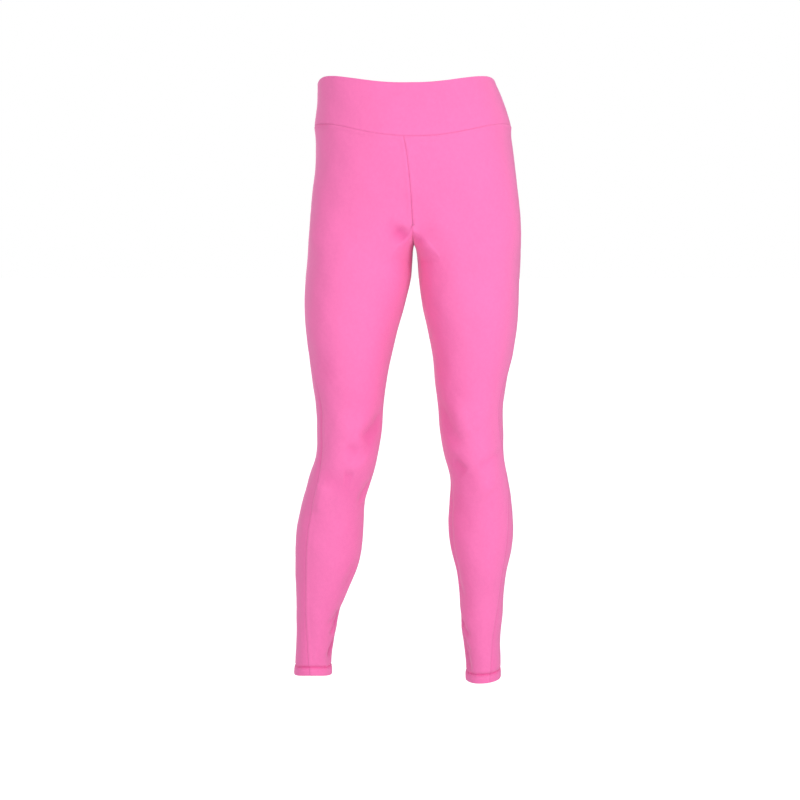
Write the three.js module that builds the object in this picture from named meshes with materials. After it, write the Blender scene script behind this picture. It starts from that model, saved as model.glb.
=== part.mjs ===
// A pair of full length leggings in a stretch knit, keeping the hollow form of being worn.
// Millimetres. +Z up, the front faces -Y, +X is the wearer's left side. The origin is the
// centre of the waist opening, and every height is given as a drop below it.

import * as THREE from 'three';

// Cloth
const LEG_WALL = 1.6;
const BAND_WALL = 2.4;
const BAND_PROUD = 0.4;
const HEM_WALL = 2.6;
const HEM_PROUD = 1.1;
const HEM_DEPTH = 14;
const HEM_STEP = 1.5;
const SEAM_GAP = 0.3;
const PINK = 0xfb7cba;

// Drops at the side of the body: the waist seam, the ring where the hips part into the legs,
// the lowest point under the body, and the first whole section of a leg.
const WAIST_SEAM_DROP = 73;
const JOIN_DROP = 240;
const CROTCH_DROP = 261;
const LEG_TOP_DROP = 290;

// Steps of the cloth's grid down and across
const BAND_ROWS = 5;
const HIP_ROWS = 9;
const JOIN_ROWS = 4;
const OUTER_STEPS = 8;
const INNER_STEPS = 4;
const LEG_STRETCHES = [
  { from: LEG_TOP_DROP, to: 540, count: 12 },
  { from: 540, to: 690, count: 14 },
  { from: 690, to: 960, count: 13 },
];

// Rings of the waistband and hips. left, right, front and back are where the cloth lies on each
// side. A ring tips forward: its front is frontDrop below, its back backRise above, and its
// side seams sideDip below. seam is where the centre front seam lies across the body,
// frontDent and backDent the hollows along the middle, and square how square the ring is: 2 is
// an ellipse.
const HIP_TABLE = table(
  [
    'drop', 'frontDrop', 'backRise', 'sideDip', 'left', 'right', 'front', 'back', 'seam', 'frontDent', 'backDent',
    'square',
  ],
  [
    [0, 16.5, 8, 9, -140.8, 141.8, -98, 104, -7, 0, 0, 2.3],
    [36, 20.5, 9, 3, -141.8, 155, -104, 108, -6, 0, 0, 2.3],
    [73, 24, 9, 0, -146.2, 166.6, -108, 113, -4.6, 0, 1, 2.3],
    [90, 21.5, 9, 0, -145, 167.6, -109, 117, -2.3, 0, 2, 2.32],
    [105, 18.5, 8, 0, -144.4, 169.7, -110, 121, -0.2, 0, 4, 2.35],
    [140, 11.5, 8, 0, -145.4, 174.4, -109, 127, 3.3, 0, 7, 2.45],
    [175, 3, 8, 0, -150.2, 179, -106, 129, 5.8, 0, 10, 2.6],
    [210, -6, 8, 0, -153.5, 182.8, -101, 125, 7.6, 2, 13, 2.8],
    [240, -12, 8, 0, -156.2, 184.1, -98, 115, 9.2, 5, 16, 3],
  ],
);

// Sections down each leg. outer, inner, front and back are where the cloth lies, outseam and
// inseam how far round from the outer side each seam runs, in degrees towards the front.
const LEG_COLUMNS = ['drop', 'outer', 'inner', 'front', 'back', 'outseam', 'inseam'];
const RIGHT_LEG_TABLE = table(LEG_COLUMNS, [
  [290, -159.6, 9.2, -95, 98, 4, 180],
  [320, -162.6, 6.2, -96, 92, 4, 180],
  [360, -164.2, -3.5, -95, 86, 6, 180],
  [400, -162.6, -14.8, -92, 80, 12, 180],
  [440, -157.6, -24.2, -88, 74, 22, 180],
  [480, -153, -32.2, -83, 66, 34, 180],
  [520, -147.6, -37.4, -77, 60, 38, 180],
  [560, -146.4, -39.6, -72, 56, 36, 178],
  [600, -147.6, -46, -68, 54, 37, 176],
  [640, -159.6, -55.4, -60, 56, 48, 174],
  [680, -171.4, -67.4, -50, 62, 52, 172],
  [720, -181.2, -70.6, -44, 70, 53, 170],
  [760, -185.4, -73.4, -38, 73, 52, 170],
  [800, -186.2, -82, -32, 71, 53, 168],
  [840, -185.8, -98.4, -26, 66, 56, 168],
  [880, -185.6, -113.2, -19, 62, 61, 166],
  [920, -186, -119.8, -14, 61, 68, 165],
  [960, -188, -126.4, -11, 62, 78, 164],
  [986, -190.6, -126.6, -11, 63, 86, 164],
]);
const LEFT_LEG_TABLE = table(LEG_COLUMNS, [
  [290, 183.8, 19.2, -95, 98, 4, 180],
  [320, 182.4, 21.6, -96, 92, 4, 180],
  [360, 181.2, 27, -96, 85, 5, 180],
  [400, 178.2, 35.8, -93, 78, 10, 180],
  [440, 172.4, 43.6, -89, 71, 18, 180],
  [480, 163.8, 47.2, -85, 62, 32, 180],
  [520, 158, 52.4, -81, 54, 37, 180],
  [560, 158.4, 55.4, -78, 49, 33, 180],
  [600, 160, 62.4, -77, 45, 21, 180],
  [640, 167.2, 72.6, -70, 46, 20, 178],
  [680, 174.4, 72.2, -61, 51, 33, 176],
  [720, 178, 70.6, -56, 58, 39, 176],
  [760, 176.4, 74.6, -53, 60, 43, 174],
  [800, 168.2, 84.4, -50, 56, 43, 174],
  [840, 163.8, 89.4, -45, 49, 46, 172],
  [880, 161.4, 91.6, -42, 41, 55, 172],
  [920, 158.2, 95, -39, 36, 61, 172],
  [960, 159.8, 100.6, -38, 36, 71, 172],
  [982, 159.6, 101.6, -38, 36, 76, 172],
]);

// The lower edges: the drop of a hem's middle, and how far its outer side and front are above.
const RIGHT_HEM = { drop: 986, outerRise: 0, frontRise: 7 };
const LEFT_HEM = { drop: 984, outerRise: 3, frontRise: 1.5 };
const HEM_TILT_STARTS = 860;

// How sharply the rim dips at the side seams, how square a leg's sections are, and how wide the
// hollows along the middle of the hips.
const SIDE_DIP_POWER = 24;
const THIGH_SQUARENESS = 2.3;
const SHIN_SQUARENESS = 2.05;
const FRONT_DENT_HALF_WIDTH = 30;
const BACK_DENT_HALF_WIDTH = 36;

// The seam under the body: where its lowest point lies, and how wide it arches.
const CROTCH = { middle: 13.6, lowestAt: 10, squareness: 2.2, arch: 9 };

// The largest folds. Each runs from (drop, turn) to (toDrop, toTurn), where turn is the angle
// round from the outer side in degrees: 90 is the front, 180 the inner side, 270 the back.
const FOLD_COLUMNS = ['drop', 'turn', 'toDrop', 'toTurn', 'depth', 'halfWidth'];
const RIGHT_FOLDS = table(FOLD_COLUMNS, [
  [535, 152, 568, 116, 3, 9],
  [632, 72, 648, 124, 2.8, 10],
  [612, 238, 622, 304, 2.8, 10],
  [644, 226, 634, 282, 2.2, 9],
]);
const LEFT_FOLDS = table(FOLD_COLUMNS, [
  [520, 150, 576, 118, 2.6, 10],
  [602, 136, 624, 110, 3.2, 9],
  [596, 240, 608, 304, 2.8, 10],
  [630, 228, 620, 284, 2.2, 9],
]);

function table(names, rows) {
  return rows.map((row) => Object.fromEntries(names.map((name, i) => [name, row[i]])));
}

function hermite(start, leaving, end, arriving, t) {
  const t2 = t * t;
  const t3 = t2 * t;
  return (2 * t3 - 3 * t2 + 1) * start + (t3 - 2 * t2 + t) * leaving
    + (3 * t2 - 2 * t3) * end + (t3 - t2) * arriving;
}

// A smooth curve through one column of a table, as a function of the drop.
function curve(rows, name) {
  const drops = rows.map((row) => row.drop);
  const values = rows.map((row) => row[name]);
  const slopes = values.map((_, i) => {
    const before = Math.max(i - 1, 0);
    const after = Math.min(i + 1, values.length - 1);
    return (values[after] - values[before]) / (drops[after] - drops[before]);
  });
  return (drop) => {
    const past = drops.filter((value) => value <= drop).length;
    const i = THREE.MathUtils.clamp(past - 1, 0, drops.length - 2);
    const width = drops[i + 1] - drops[i];
    const t = (drop - drops[i]) / width;
    return hermite(values[i], slopes[i] * width, values[i + 1], slopes[i + 1] * width, t);
  };
}

function curves(rows) {
  const names = Object.keys(rows[0]).filter((name) => name !== 'drop');
  return Object.fromEntries(names.map((name) => [name, curve(rows, name)]));
}

const signedPower = (value, power) => Math.sign(value) * Math.abs(value) ** power;
const mix = (a, b, t) => a + (b - a) * t;
const smooth = (t) => THREE.MathUtils.smoothstep(t, 0, 1);
const radians = THREE.MathUtils.degToRad;

const hips = curves(HIP_TABLE);
const rightLeg = { side: -1, ...curves(RIGHT_LEG_TABLE), hem: RIGHT_HEM, folds: RIGHT_FOLDS };
const leftLeg = { side: 1, ...curves(LEFT_LEG_TABLE), hem: LEFT_HEM, folds: LEFT_FOLDS };

// A point of the hip ring at a drop. turn is the angle from the side towards the front.
function hipPoint(leg, drop, turn) {
  const middle = (hips.left(drop) + hips.right(drop)) / 2;
  const halfWidth = (hips.right(drop) - hips.left(drop)) / 2;
  const reach = turn > 0 ? -hips.front(drop) : hips.back(drop);
  const power = 2 / hips.square(drop);
  const forward = Math.sin(turn);
  const x = middle + leg.side * halfWidth * signedPower(Math.cos(turn), power);
  const [dent, dentWidth] = turn > 0
    ? [hips.frontDent(drop), FRONT_DENT_HALF_WIDTH]
    : [-hips.backDent(drop), BACK_DENT_HALF_WIDTH];
  const y = -reach * signedPower(forward, power) + dent * Math.exp(-(((x - middle) / dentWidth) ** 2));
  const tip = turn > 0 ? hips.frontDrop(drop) * forward ** 4 : -hips.backRise(drop) * forward ** 2;
  const dip = hips.sideDip(drop) * Math.cos(turn) ** SIDE_DIP_POWER;
  return new THREE.Vector3(x, y, -drop - tip - dip);
}

// The angle of the centre front seam on the hip ring.
function frontSeamTurn(leg, drop) {
  const middle = (hips.left(drop) + hips.right(drop)) / 2;
  const halfWidth = (hips.right(drop) - hips.left(drop)) / 2;
  const across = (leg.side * (hips.seam(drop) - middle)) / halfWidth;
  return Math.acos(signedPower(across, hips.square(drop) / 2));
}

// A point of one leg's section. The lowest sections lie parallel to the hem.
function legPoint(leg, drop, turn) {
  const middle = (leg.outer(drop) + leg.inner(drop)) / 2;
  const halfWidth = Math.abs(leg.outer(drop) - leg.inner(drop)) / 2;
  const depthMiddle = (leg.front(drop) + leg.back(drop)) / 2;
  const halfDepth = (leg.back(drop) - leg.front(drop)) / 2;
  const lower = smooth((drop - LEG_TOP_DROP) / LEG_TOP_DROP);
  const power = 2 / mix(THIGH_SQUARENESS, SHIN_SQUARENESS, lower);
  const tilt = smooth((drop - HEM_TILT_STARTS) / (leg.hem.drop - HEM_TILT_STARTS));
  const forward = Math.max(Math.sin(turn), 0);
  const rise = leg.hem.outerRise * Math.cos(turn) + leg.hem.frontRise * forward ** 2;
  return new THREE.Vector3(
    middle + leg.side * halfWidth * signedPower(Math.cos(turn), power),
    depthMiddle - halfDepth * signedPower(Math.sin(turn), power),
    -drop + tilt * rise,
  );
}

// Columns are numbered round each leg: 0 is the centre front line, OUTER_STEPS the outseam,
// 2 x OUTER_STEPS the centre back line, and INNER_STEPS before or past those the inseam.
function hipTurn(leg, drop, column) {
  const t = column / OUTER_STEPS;
  return t <= 1 ? mix(frontSeamTurn(leg, drop), 0, t) : mix(0, -Math.PI / 2, t - 1);
}

function legTurn(leg, drop, column) {
  const outseam = radians(leg.outseam(drop));
  const inseam = radians(leg.inseam(drop));
  const t = (column - OUTER_STEPS) / (OUTER_STEPS + INNER_STEPS);
  return t <= 0 ? mix(outseam, inseam, -t) : mix(outseam, inseam - 2 * Math.PI, t);
}

// The seam under the body: t is 0 at centre front, 1 at its lowest, 2 at centre back.
function crotchPoint(t) {
  const turn = t < 1 ? frontSeamTurn(rightLeg, JOIN_DROP) : -Math.PI / 2;
  const end = hipPoint(rightLeg, JOIN_DROP, turn);
  const power = 2 / CROTCH.squareness;
  const level = Math.abs(Math.cos((t * Math.PI) / 2)) ** power;
  const fallen = Math.sin((t * Math.PI) / 2) ** power;
  return new THREE.Vector3(
    mix(CROTCH.middle, end.x, level),
    mix(CROTCH.lowestAt, end.y, level),
    mix(end.z, -CROTCH_DROP, fallen),
  );
}

// A point between the hips and the first whole section of a leg: a curve that leaves the hips,
// or the seam under the body, at t 0 and runs into the leg at t 1.
function joinPoint(leg, column, t) {
  const end = legPoint(leg, LEG_TOP_DROP, legTurn(leg, LEG_TOP_DROP, column));
  const beyond = legPoint(leg, LEG_TOP_DROP + 1, legTurn(leg, LEG_TOP_DROP + 1, column));
  const nearest = THREE.MathUtils.clamp(column, 0, 2 * OUTER_STEPS);
  const inward = Math.abs(column - nearest) / INNER_STEPS;
  const hip = hipPoint(leg, JOIN_DROP, hipTurn(leg, JOIN_DROP, nearest));
  const above = hipPoint(leg, JOIN_DROP - 1, hipTurn(leg, JOIN_DROP - 1, nearest));
  const start = inward > 0 ? crotchPoint(column < 0 ? inward : 2 - inward) : hip;
  const length = start.z - end.z;
  const leaving = hip.clone().sub(above).multiplyScalar(length * (1 - smooth(inward)));
  leaving.x += leg.side * CROTCH.arch * smooth(inward);
  const arriving = beyond.sub(end).multiplyScalar(length);
  const along = (axis) => hermite(start[axis], leaving[axis], end[axis], arriving[axis], t);
  return new THREE.Vector3(along('x'), along('y'), along('z'));
}

// How deep the folds are at a place on a leg. Distances are measured along the cloth.
function foldDepth(leg, drop, turn) {
  const radius = (Math.abs(leg.outer(drop) - leg.inner(drop)) + leg.back(drop) - leg.front(drop)) / 4;
  const degrees = THREE.MathUtils.euclideanModulo(THREE.MathUtils.radToDeg(turn), 360);
  const place = new THREE.Vector2(radians(degrees) * radius, drop);
  return leg.folds.reduce((depth, fold) => {
    const start = new THREE.Vector2(radians(fold.turn) * radius, fold.drop);
    const run = new THREE.Vector2(radians(fold.toTurn) * radius, fold.toDrop).sub(start);
    const t = THREE.MathUtils.clamp(place.clone().sub(start).dot(run) / run.lengthSq(), 0, 1);
    const away = place.distanceTo(start.addScaledVector(run, t));
    return depth + fold.depth * Math.exp(-((away / fold.halfWidth) ** 2));
  }, 0);
}

// The rows of a leg from the waist seam down to the hem. at gives a row's point by column.
function legRows(leg) {
  const row = (at, onHips = false, wall = LEG_WALL, proud = 0, fold = () => 0) => (
    { at, onHips, wall, proud, fold });
  const spread = (from, to, count) => (
    Array.from({ length: count }, (_, i) => mix(from, to, i / count)));
  const hipRow = (drop) => row((column) => hipPoint(leg, drop, hipTurn(leg, drop, column)), true);
  const joinRow = (t) => row((column) => joinPoint(leg, column, t));
  const legRow = (drop, wall, proud) => row(
    (column) => legPoint(leg, drop, legTurn(leg, drop, column)),
    false,
    wall,
    proud,
    (column) => foldDepth(leg, drop, legTurn(leg, drop, column)),
  );
  const foldedFrom = leg.hem.drop - HEM_DEPTH;
  return [
    ...spread(WAIST_SEAM_DROP, JOIN_DROP, HIP_ROWS).map(hipRow),
    ...spread(0, 1, JOIN_ROWS).map(joinRow),
    ...LEG_STRETCHES.flatMap(({ from, to, count }) => spread(from, to, count)).map((drop) => legRow(drop)),
    legRow(foldedFrom),
    legRow(foldedFrom + HEM_STEP, HEM_WALL, HEM_PROUD),
    legRow(leg.hem.drop, HEM_WALL, HEM_PROUD),
  ];
}

// One panel's grid of places, a null where the panel has no cloth. outward says whether the
// columns run clockwise, seen from above.
function legPanel(name, leg, firstColumn, lastColumn) {
  const columns = Array.from({ length: lastColumn - firstColumn + 1 }, (_, i) => firstColumn + i);
  const rows = legRows(leg);
  const grid = rows.map((row) => columns.map((column) => {
    const onSeam = column === 0 || column === 2 * OUTER_STEPS;
    const offHips = column < 0 || column > 2 * OUTER_STEPS;
    if (row.onHips && offHips) {
      return null;
    }
    const atJoin = row === rows[HIP_ROWS];
    const middleSeam = (row.onHips && onSeam) || (atJoin && (onSeam || offHips));
    const { wall, proud } = row;
    return { point: row.at(column), wall, proud, fold: row.fold(column), middleSeam };
  }));
  return { name, grid, side: leg.side, clockwise: leg === rightLeg, topGap: true, bottomGap: false };
}

// A waistband panel runs from one side seam to the other, by the columns of both legs.
function bandPanel(name, stops, clockwise) {
  const rows = Array.from({ length: BAND_ROWS + 1 }, (_, i) => WAIST_SEAM_DROP * (i / BAND_ROWS));
  const grid = rows.map((drop) => stops.map(({ leg, column }) => (
    { point: hipPoint(leg, drop, hipTurn(leg, drop, column)), wall: BAND_WALL, proud: BAND_PROUD, fold: 0 })));
  return { name, grid, clockwise, topGap: false, bottomGap: true };
}

const count = (from, to) => Array.from({ length: Math.abs(to - from) + 1 }, (_, i) => (
  from + i * Math.sign(to - from)));
const stopsAcross = (from, to, leg) => count(from, to).map((column) => ({ leg, column }));

const panels = [
  bandPanel('waistband_front', [
    ...stopsAcross(OUTER_STEPS, 0, rightLeg),
    ...stopsAcross(1, OUTER_STEPS, leftLeg),
  ], false),
  bandPanel('waistband_back', [
    ...stopsAcross(OUTER_STEPS, 2 * OUTER_STEPS, leftLeg),
    ...stopsAcross(2 * OUTER_STEPS - 1, OUTER_STEPS, rightLeg),
  ], false),
  legPanel('leg_front_right', rightLeg, -INNER_STEPS, OUTER_STEPS),
  legPanel('leg_back_right', rightLeg, OUTER_STEPS, 2 * OUTER_STEPS + INNER_STEPS),
  legPanel('leg_front_left', leftLeg, -INNER_STEPS, OUTER_STEPS),
  legPanel('leg_back_left', leftLeg, OUTER_STEPS, 2 * OUTER_STEPS + INNER_STEPS),
];

// Calls visit with the four corners of each square of cloth, in the order that faces outwards.
function eachSquare(panel, visit) {
  const { grid, clockwise } = panel;
  for (let r = 0; r + 1 < grid.length; r += 1) {
    for (let c = 0; c + 1 < grid[r].length; c += 1) {
      const corners = [grid[r][c], grid[r][c + 1], grid[r + 1][c + 1], grid[r + 1][c]];
      if (corners.every(Boolean)) {
        visit(clockwise ? corners : corners.reverse());
      }
    }
  }
}

// The direction out of the cloth at each place, shared by the panels that meet there.
function faceOutwards(allPanels) {
  const places = new Map();
  const key = ({ point }) => point.toArray().map((value) => value.toFixed(3)).join();
  const corner = (at, next, previous) => next.point.clone().sub(at.point)
    .cross(previous.point.clone().sub(at.point));
  allPanels.forEach((panel) => eachSquare(panel, (corners) => {
    corners.forEach((at, i) => {
      const normal = corner(at, corners[(i + 1) % 4], corners[(i + 3) % 4]);
      const sum = places.get(key(at)) ?? new THREE.Vector3();
      places.set(key(at), sum.add(normal));
    });
  }));
  allPanels.forEach(({ grid }) => grid.flat().filter(Boolean).forEach((place) => {
    place.outward = places.get(key(place)).clone().normalize();
  }));
}

// Lays the folds into the cloth and draws each edge back from its seam by half the gap.
function finishPlaces({ grid, side, topGap, bottomGap }) {
  const half = SEAM_GAP / 2;
  const shift = (place, next) => (
    next.point.clone().sub(place.point).setLength(half));
  const last = grid.length - 1;
  grid.forEach((row, r) => row.forEach((place, c) => {
    if (!place) {
      return;
    }
    place.shift = new THREE.Vector3();
    if (place.middleSeam) {
      place.shift.x += side * half;
    }
    if (c === 0) {
      place.shift.add(shift(place, row[1]));
    }
    if (c === row.length - 1) {
      place.shift.add(shift(place, row[c - 1]));
    }
    if (r === 0 && topGap) {
      place.shift.add(shift(place, grid[1][c]));
    }
    if (r === last && bottomGap) {
      place.shift.add(shift(place, grid[last - 1][c]));
    }
  }));
  grid.flat().filter(Boolean).forEach((place) => {
    place.point.add(place.shift).addScaledVector(place.outward, place.proud - place.fold);
  });
}

// The closed wall of one panel: its outer face, its inner face and the strips along its edges.
function wallGeometry(panel) {
  const places = panel.grid.flat().filter(Boolean);
  const indexOf = new Map(places.map((place, i) => [place, i]));
  const inner = places.map(({ point, outward, wall }) => point.clone().addScaledVector(outward, -wall));
  const points = [...places.map(({ point }) => point), ...inner];
  const triangles = [];
  const edges = new Map();
  eachSquare(panel, (corners) => {
    const [a, b, c, d] = corners.map((place) => indexOf.get(place));
    const below = places.length;
    triangles.push(a, b, c, a, c, d);
    triangles.push(a + below, c + below, b + below, a + below, d + below, c + below);
    [[a, b], [b, c], [c, d], [d, a]].forEach(([from, to]) => {
      if (!edges.delete(`${to},${from}`)) {
        edges.set(`${from},${to}`, [from, to]);
      }
    });
  });
  edges.forEach(([from, to]) => {
    const below = places.length;
    triangles.push(from, from + below, to + below, from, to + below, to);
  });
  const geometry = new THREE.BufferGeometry();
  geometry.setAttribute('position', new THREE.Float32BufferAttribute(points.flatMap((point) => point.toArray()), 3));
  geometry.setIndex(triangles);
  geometry.computeVertexNormals();
  return geometry;
}

const knit = new THREE.MeshStandardMaterial({ color: PINK, roughness: 0.75, metalness: 0 });
const leggings = new THREE.Group();
faceOutwards(panels);
panels.forEach((panel) => {
  finishPlaces(panel);
  const mesh = new THREE.Mesh(wallGeometry(panel), knit);
  mesh.name = panel.name;
  leggings.add(mesh);
});

export default leggings;
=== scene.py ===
"""Full length leggings in a matte stretch knit, in the hollow form of being worn.

Metres, +Z up, the front faces -Y and +X is the wearer's left side. The sizes of the cloth are
written in millimetres, as a cutter writes them, and every height is a drop below the centre of
the waist opening.
"""

import functools
import math

import bpy
import numpy as np
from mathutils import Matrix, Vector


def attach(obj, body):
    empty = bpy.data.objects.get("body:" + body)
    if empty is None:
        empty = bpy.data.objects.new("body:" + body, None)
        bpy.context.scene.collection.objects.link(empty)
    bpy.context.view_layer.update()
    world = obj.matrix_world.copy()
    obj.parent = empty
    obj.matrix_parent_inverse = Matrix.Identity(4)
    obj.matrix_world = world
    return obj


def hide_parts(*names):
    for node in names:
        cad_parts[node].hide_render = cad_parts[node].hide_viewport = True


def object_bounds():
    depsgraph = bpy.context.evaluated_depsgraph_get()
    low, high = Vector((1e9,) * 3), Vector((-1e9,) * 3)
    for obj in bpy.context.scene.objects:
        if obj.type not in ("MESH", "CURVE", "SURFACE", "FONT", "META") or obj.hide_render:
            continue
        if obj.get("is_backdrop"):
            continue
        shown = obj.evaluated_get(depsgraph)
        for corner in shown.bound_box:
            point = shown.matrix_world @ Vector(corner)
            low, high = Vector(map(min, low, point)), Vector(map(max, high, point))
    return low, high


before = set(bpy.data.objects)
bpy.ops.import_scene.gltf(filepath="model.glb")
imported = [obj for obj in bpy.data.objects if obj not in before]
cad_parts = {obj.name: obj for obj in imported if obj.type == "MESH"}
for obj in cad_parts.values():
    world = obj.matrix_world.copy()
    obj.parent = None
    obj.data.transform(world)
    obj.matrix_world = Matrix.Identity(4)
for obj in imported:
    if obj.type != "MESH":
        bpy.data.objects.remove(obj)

bl_info = {
    "name": "Stretch leggings",
    "version": (1, 0, 0),
    "blender": (4, 5, 0),
    "location": "View3D > Sidebar > Leggings",
    "description": "Builds full length leggings, their sewing and a plain stage for them",
    "category": "Add Mesh",
}

MM = 0.001
CAD_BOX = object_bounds()

# The drops of the waist seam, of the ring where the hips part into legs, of the lowest point
# under the body and of the first whole section of a leg.
WAIST_SEAM_DROP = 73
JOIN_DROP = 240
CROTCH_DROP = 261
LEG_TOP_DROP = 290

# Columns are numbered round each leg: 0 is the centre front line, 8 the outseam, 16 the centre
# back line, and 4 before or past those the inseam.
OUTER_STEPS = 8
INNER_STEPS = 4


def table(names, rows):
    """The columns of a table of sizes, as arrays by name."""
    return dict(zip(names, np.array(rows, float).T))


HIP_TABLE = table(
    ["drop", "front_drop", "back_rise", "side_dip", "left", "right", "front", "back", "seam",
     "front_dent", "back_dent", "square"],
    [
        [0, 16.5, 8, 9, -140.8, 141.8, -98, 104, -7, 0, 0, 2.3],
        [36, 20.5, 9, 3, -141.8, 155, -104, 108, -6, 0, 0, 2.3],
        [73, 24, 9, 0, -146.2, 166.6, -108, 113, -4.6, 0, 1, 2.3],
        [90, 21.5, 9, 0, -145, 167.6, -109, 117, -2.3, 0, 2, 2.32],
        [105, 18.5, 8, 0, -144.4, 169.7, -110, 121, -0.2, 0, 4, 2.35],
        [140, 11.5, 8, 0, -145.4, 174.4, -109, 127, 3.3, 0, 7, 2.45],
        [175, 3, 8, 0, -150.2, 179, -106, 129, 5.8, 0, 10, 2.6],
        [210, -6, 8, 0, -153.5, 182.8, -101, 125, 7.6, 2, 13, 2.8],
        [240, -12, 8, 0, -156.2, 184.1, -98, 115, 9.2, 5, 16, 3],
    ],
)

# Sections down each leg. outseam and inseam are how far round from the outer side each seam
# runs, in degrees towards the front.
LEG_COLUMNS = ["drop", "outer", "inner", "front", "back", "outseam", "inseam"]
RIGHT_LEG_TABLE = table(LEG_COLUMNS, [
    [290, -159.6, 9.2, -95, 98, 4, 180],
    [320, -162.6, 6.2, -96, 92, 4, 180],
    [360, -164.2, -3.5, -95, 86, 6, 180],
    [400, -162.6, -14.8, -92, 80, 12, 180],
    [440, -157.6, -24.2, -88, 74, 22, 180],
    [480, -153, -32.2, -83, 66, 34, 180],
    [520, -147.6, -37.4, -77, 60, 38, 180],
    [560, -146.4, -39.6, -72, 56, 36, 178],
    [600, -147.6, -46, -68, 54, 37, 176],
    [640, -159.6, -55.4, -60, 56, 48, 174],
    [680, -171.4, -67.4, -50, 62, 52, 172],
    [720, -181.2, -70.6, -44, 70, 53, 170],
    [760, -185.4, -73.4, -38, 73, 52, 170],
    [800, -186.2, -82, -32, 71, 53, 168],
    [840, -185.8, -98.4, -26, 66, 56, 168],
    [880, -185.6, -113.2, -19, 62, 61, 166],
    [920, -186, -119.8, -14, 61, 68, 165],
    [960, -188, -126.4, -11, 62, 78, 164],
    [986, -190.6, -126.6, -11, 63, 86, 164],
])
LEFT_LEG_TABLE = table(LEG_COLUMNS, [
    [290, 183.8, 19.2, -95, 98, 4, 180],
    [320, 182.4, 21.6, -96, 92, 4, 180],
    [360, 181.2, 27, -96, 85, 5, 180],
    [400, 178.2, 35.8, -93, 78, 10, 180],
    [440, 172.4, 43.6, -89, 71, 18, 180],
    [480, 163.8, 47.2, -85, 62, 32, 180],
    [520, 158, 52.4, -81, 54, 37, 180],
    [560, 158.4, 55.4, -78, 49, 33, 180],
    [600, 160, 62.4, -77, 45, 21, 180],
    [640, 167.2, 72.6, -70, 46, 20, 178],
    [680, 174.4, 72.2, -61, 51, 33, 176],
    [720, 178, 70.6, -56, 58, 39, 176],
    [760, 176.4, 74.6, -53, 60, 43, 174],
    [800, 168.2, 84.4, -50, 56, 43, 174],
    [840, 163.8, 89.4, -45, 49, 46, 172],
    [880, 161.4, 91.6, -42, 41, 55, 172],
    [920, 158.2, 95, -39, 36, 61, 172],
    [960, 159.8, 100.6, -38, 36, 71, 172],
    [982, 159.6, 101.6, -38, 36, 76, 172],
])
HEM_TILT_STARTS = 860
THIGH_SQUARENESS = 2.3
SHIN_SQUARENESS = 2.05
FRONT_DENT_HALF_WIDTH = 30
BACK_DENT_HALF_WIDTH = 36
SIDE_DIP_POWER = 24
CROTCH = {"middle": 13.6, "lowest_at": 10, "squareness": 2.2, "arch": 9}

# The folds of each leg. Each has its depth, its half width, and the stations
# (drop, turn) that it runs through, where turn is the angle round from the outer side in
# degrees: 90 is the front, 180 the inner side, 270 the back. A ridge has a depth below zero.
RIGHT_FOLDS = [
    # In front of the knee
    (5.0, 11, [(534, 160), (556, 134), (573, 117)]),
    (1.6, 12, [(556, 160), (576, 140), (592, 122)]),
    (-1.8, 14, [(543, 62), (552, 80), (560, 96)]),
    (2.4, 7, [(578, 92), (586, 101), (592, 112)]),
    (-1.4, 8, [(602, 134), (614, 120), (620, 104)]),
    (3.1, 9, [(630, 94), (630, 103), (631, 112)]),
    (1.7, 11, [(622, 52), (633, 71), (648, 92), (655, 114), (646, 134)]),
    (-4.2, 9, [(646, 60), (666, 64), (694, 68)]),
    (3.4, 7, [(643, 162), (662, 150), (681, 146)]),
    (1.3, 14, [(440, 54), (458, 60), (474, 72)]),
    (1.9, 3.5, [(484, 34), (520, 37), (560, 35), (600, 36), (628, 42)]),
    # Behind the knee
    (3.2, 8, [(610, 234), (616, 262), (624, 306)]),
    (2.8, 8, [(648, 224), (640, 256), (632, 286)]),
    (-1.2, 7, [(628, 240), (629, 280)]),
    (2.1, 7, [(586, 250), (592, 276), (604, 316)]),
    (1.6, 7, [(666, 236), (662, 262), (668, 300)]),
    # Thigh and below the seat
    (1.5, 12, [(292, 246), (304, 276), (300, 318)]),
    (1.0, 11, [(318, 262), (326, 300)]),
    (0.8, 13, [(492, 88), (508, 104), (520, 122)]),
    # Shin and ankle
    (2.2, 8, [(786, 150), (806, 146), (830, 144)]),
    (3.0, 5.5, [(866, 158), (880, 146), (892, 128)]),
    (4.6, 5.5, [(890, 166), (903, 152), (913, 142)]),
    (4.8, 6, [(928, 170), (941, 156), (956, 152)]),
    (-2.0, 8, [(862, 96), (910, 102), (958, 106)]),
    (4.4, 6, [(868, 172), (882, 168), (896, 170)]),
    (4.8, 7, [(914, 178), (930, 172), (956, 170)]),
    (1.1, 5, [(930, 238), (940, 268), (934, 306)]),
    (1.0, 5, [(956, 226), (950, 262)]),
    (0.9, 5, [(902, 244), (910, 280)]),
]
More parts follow.
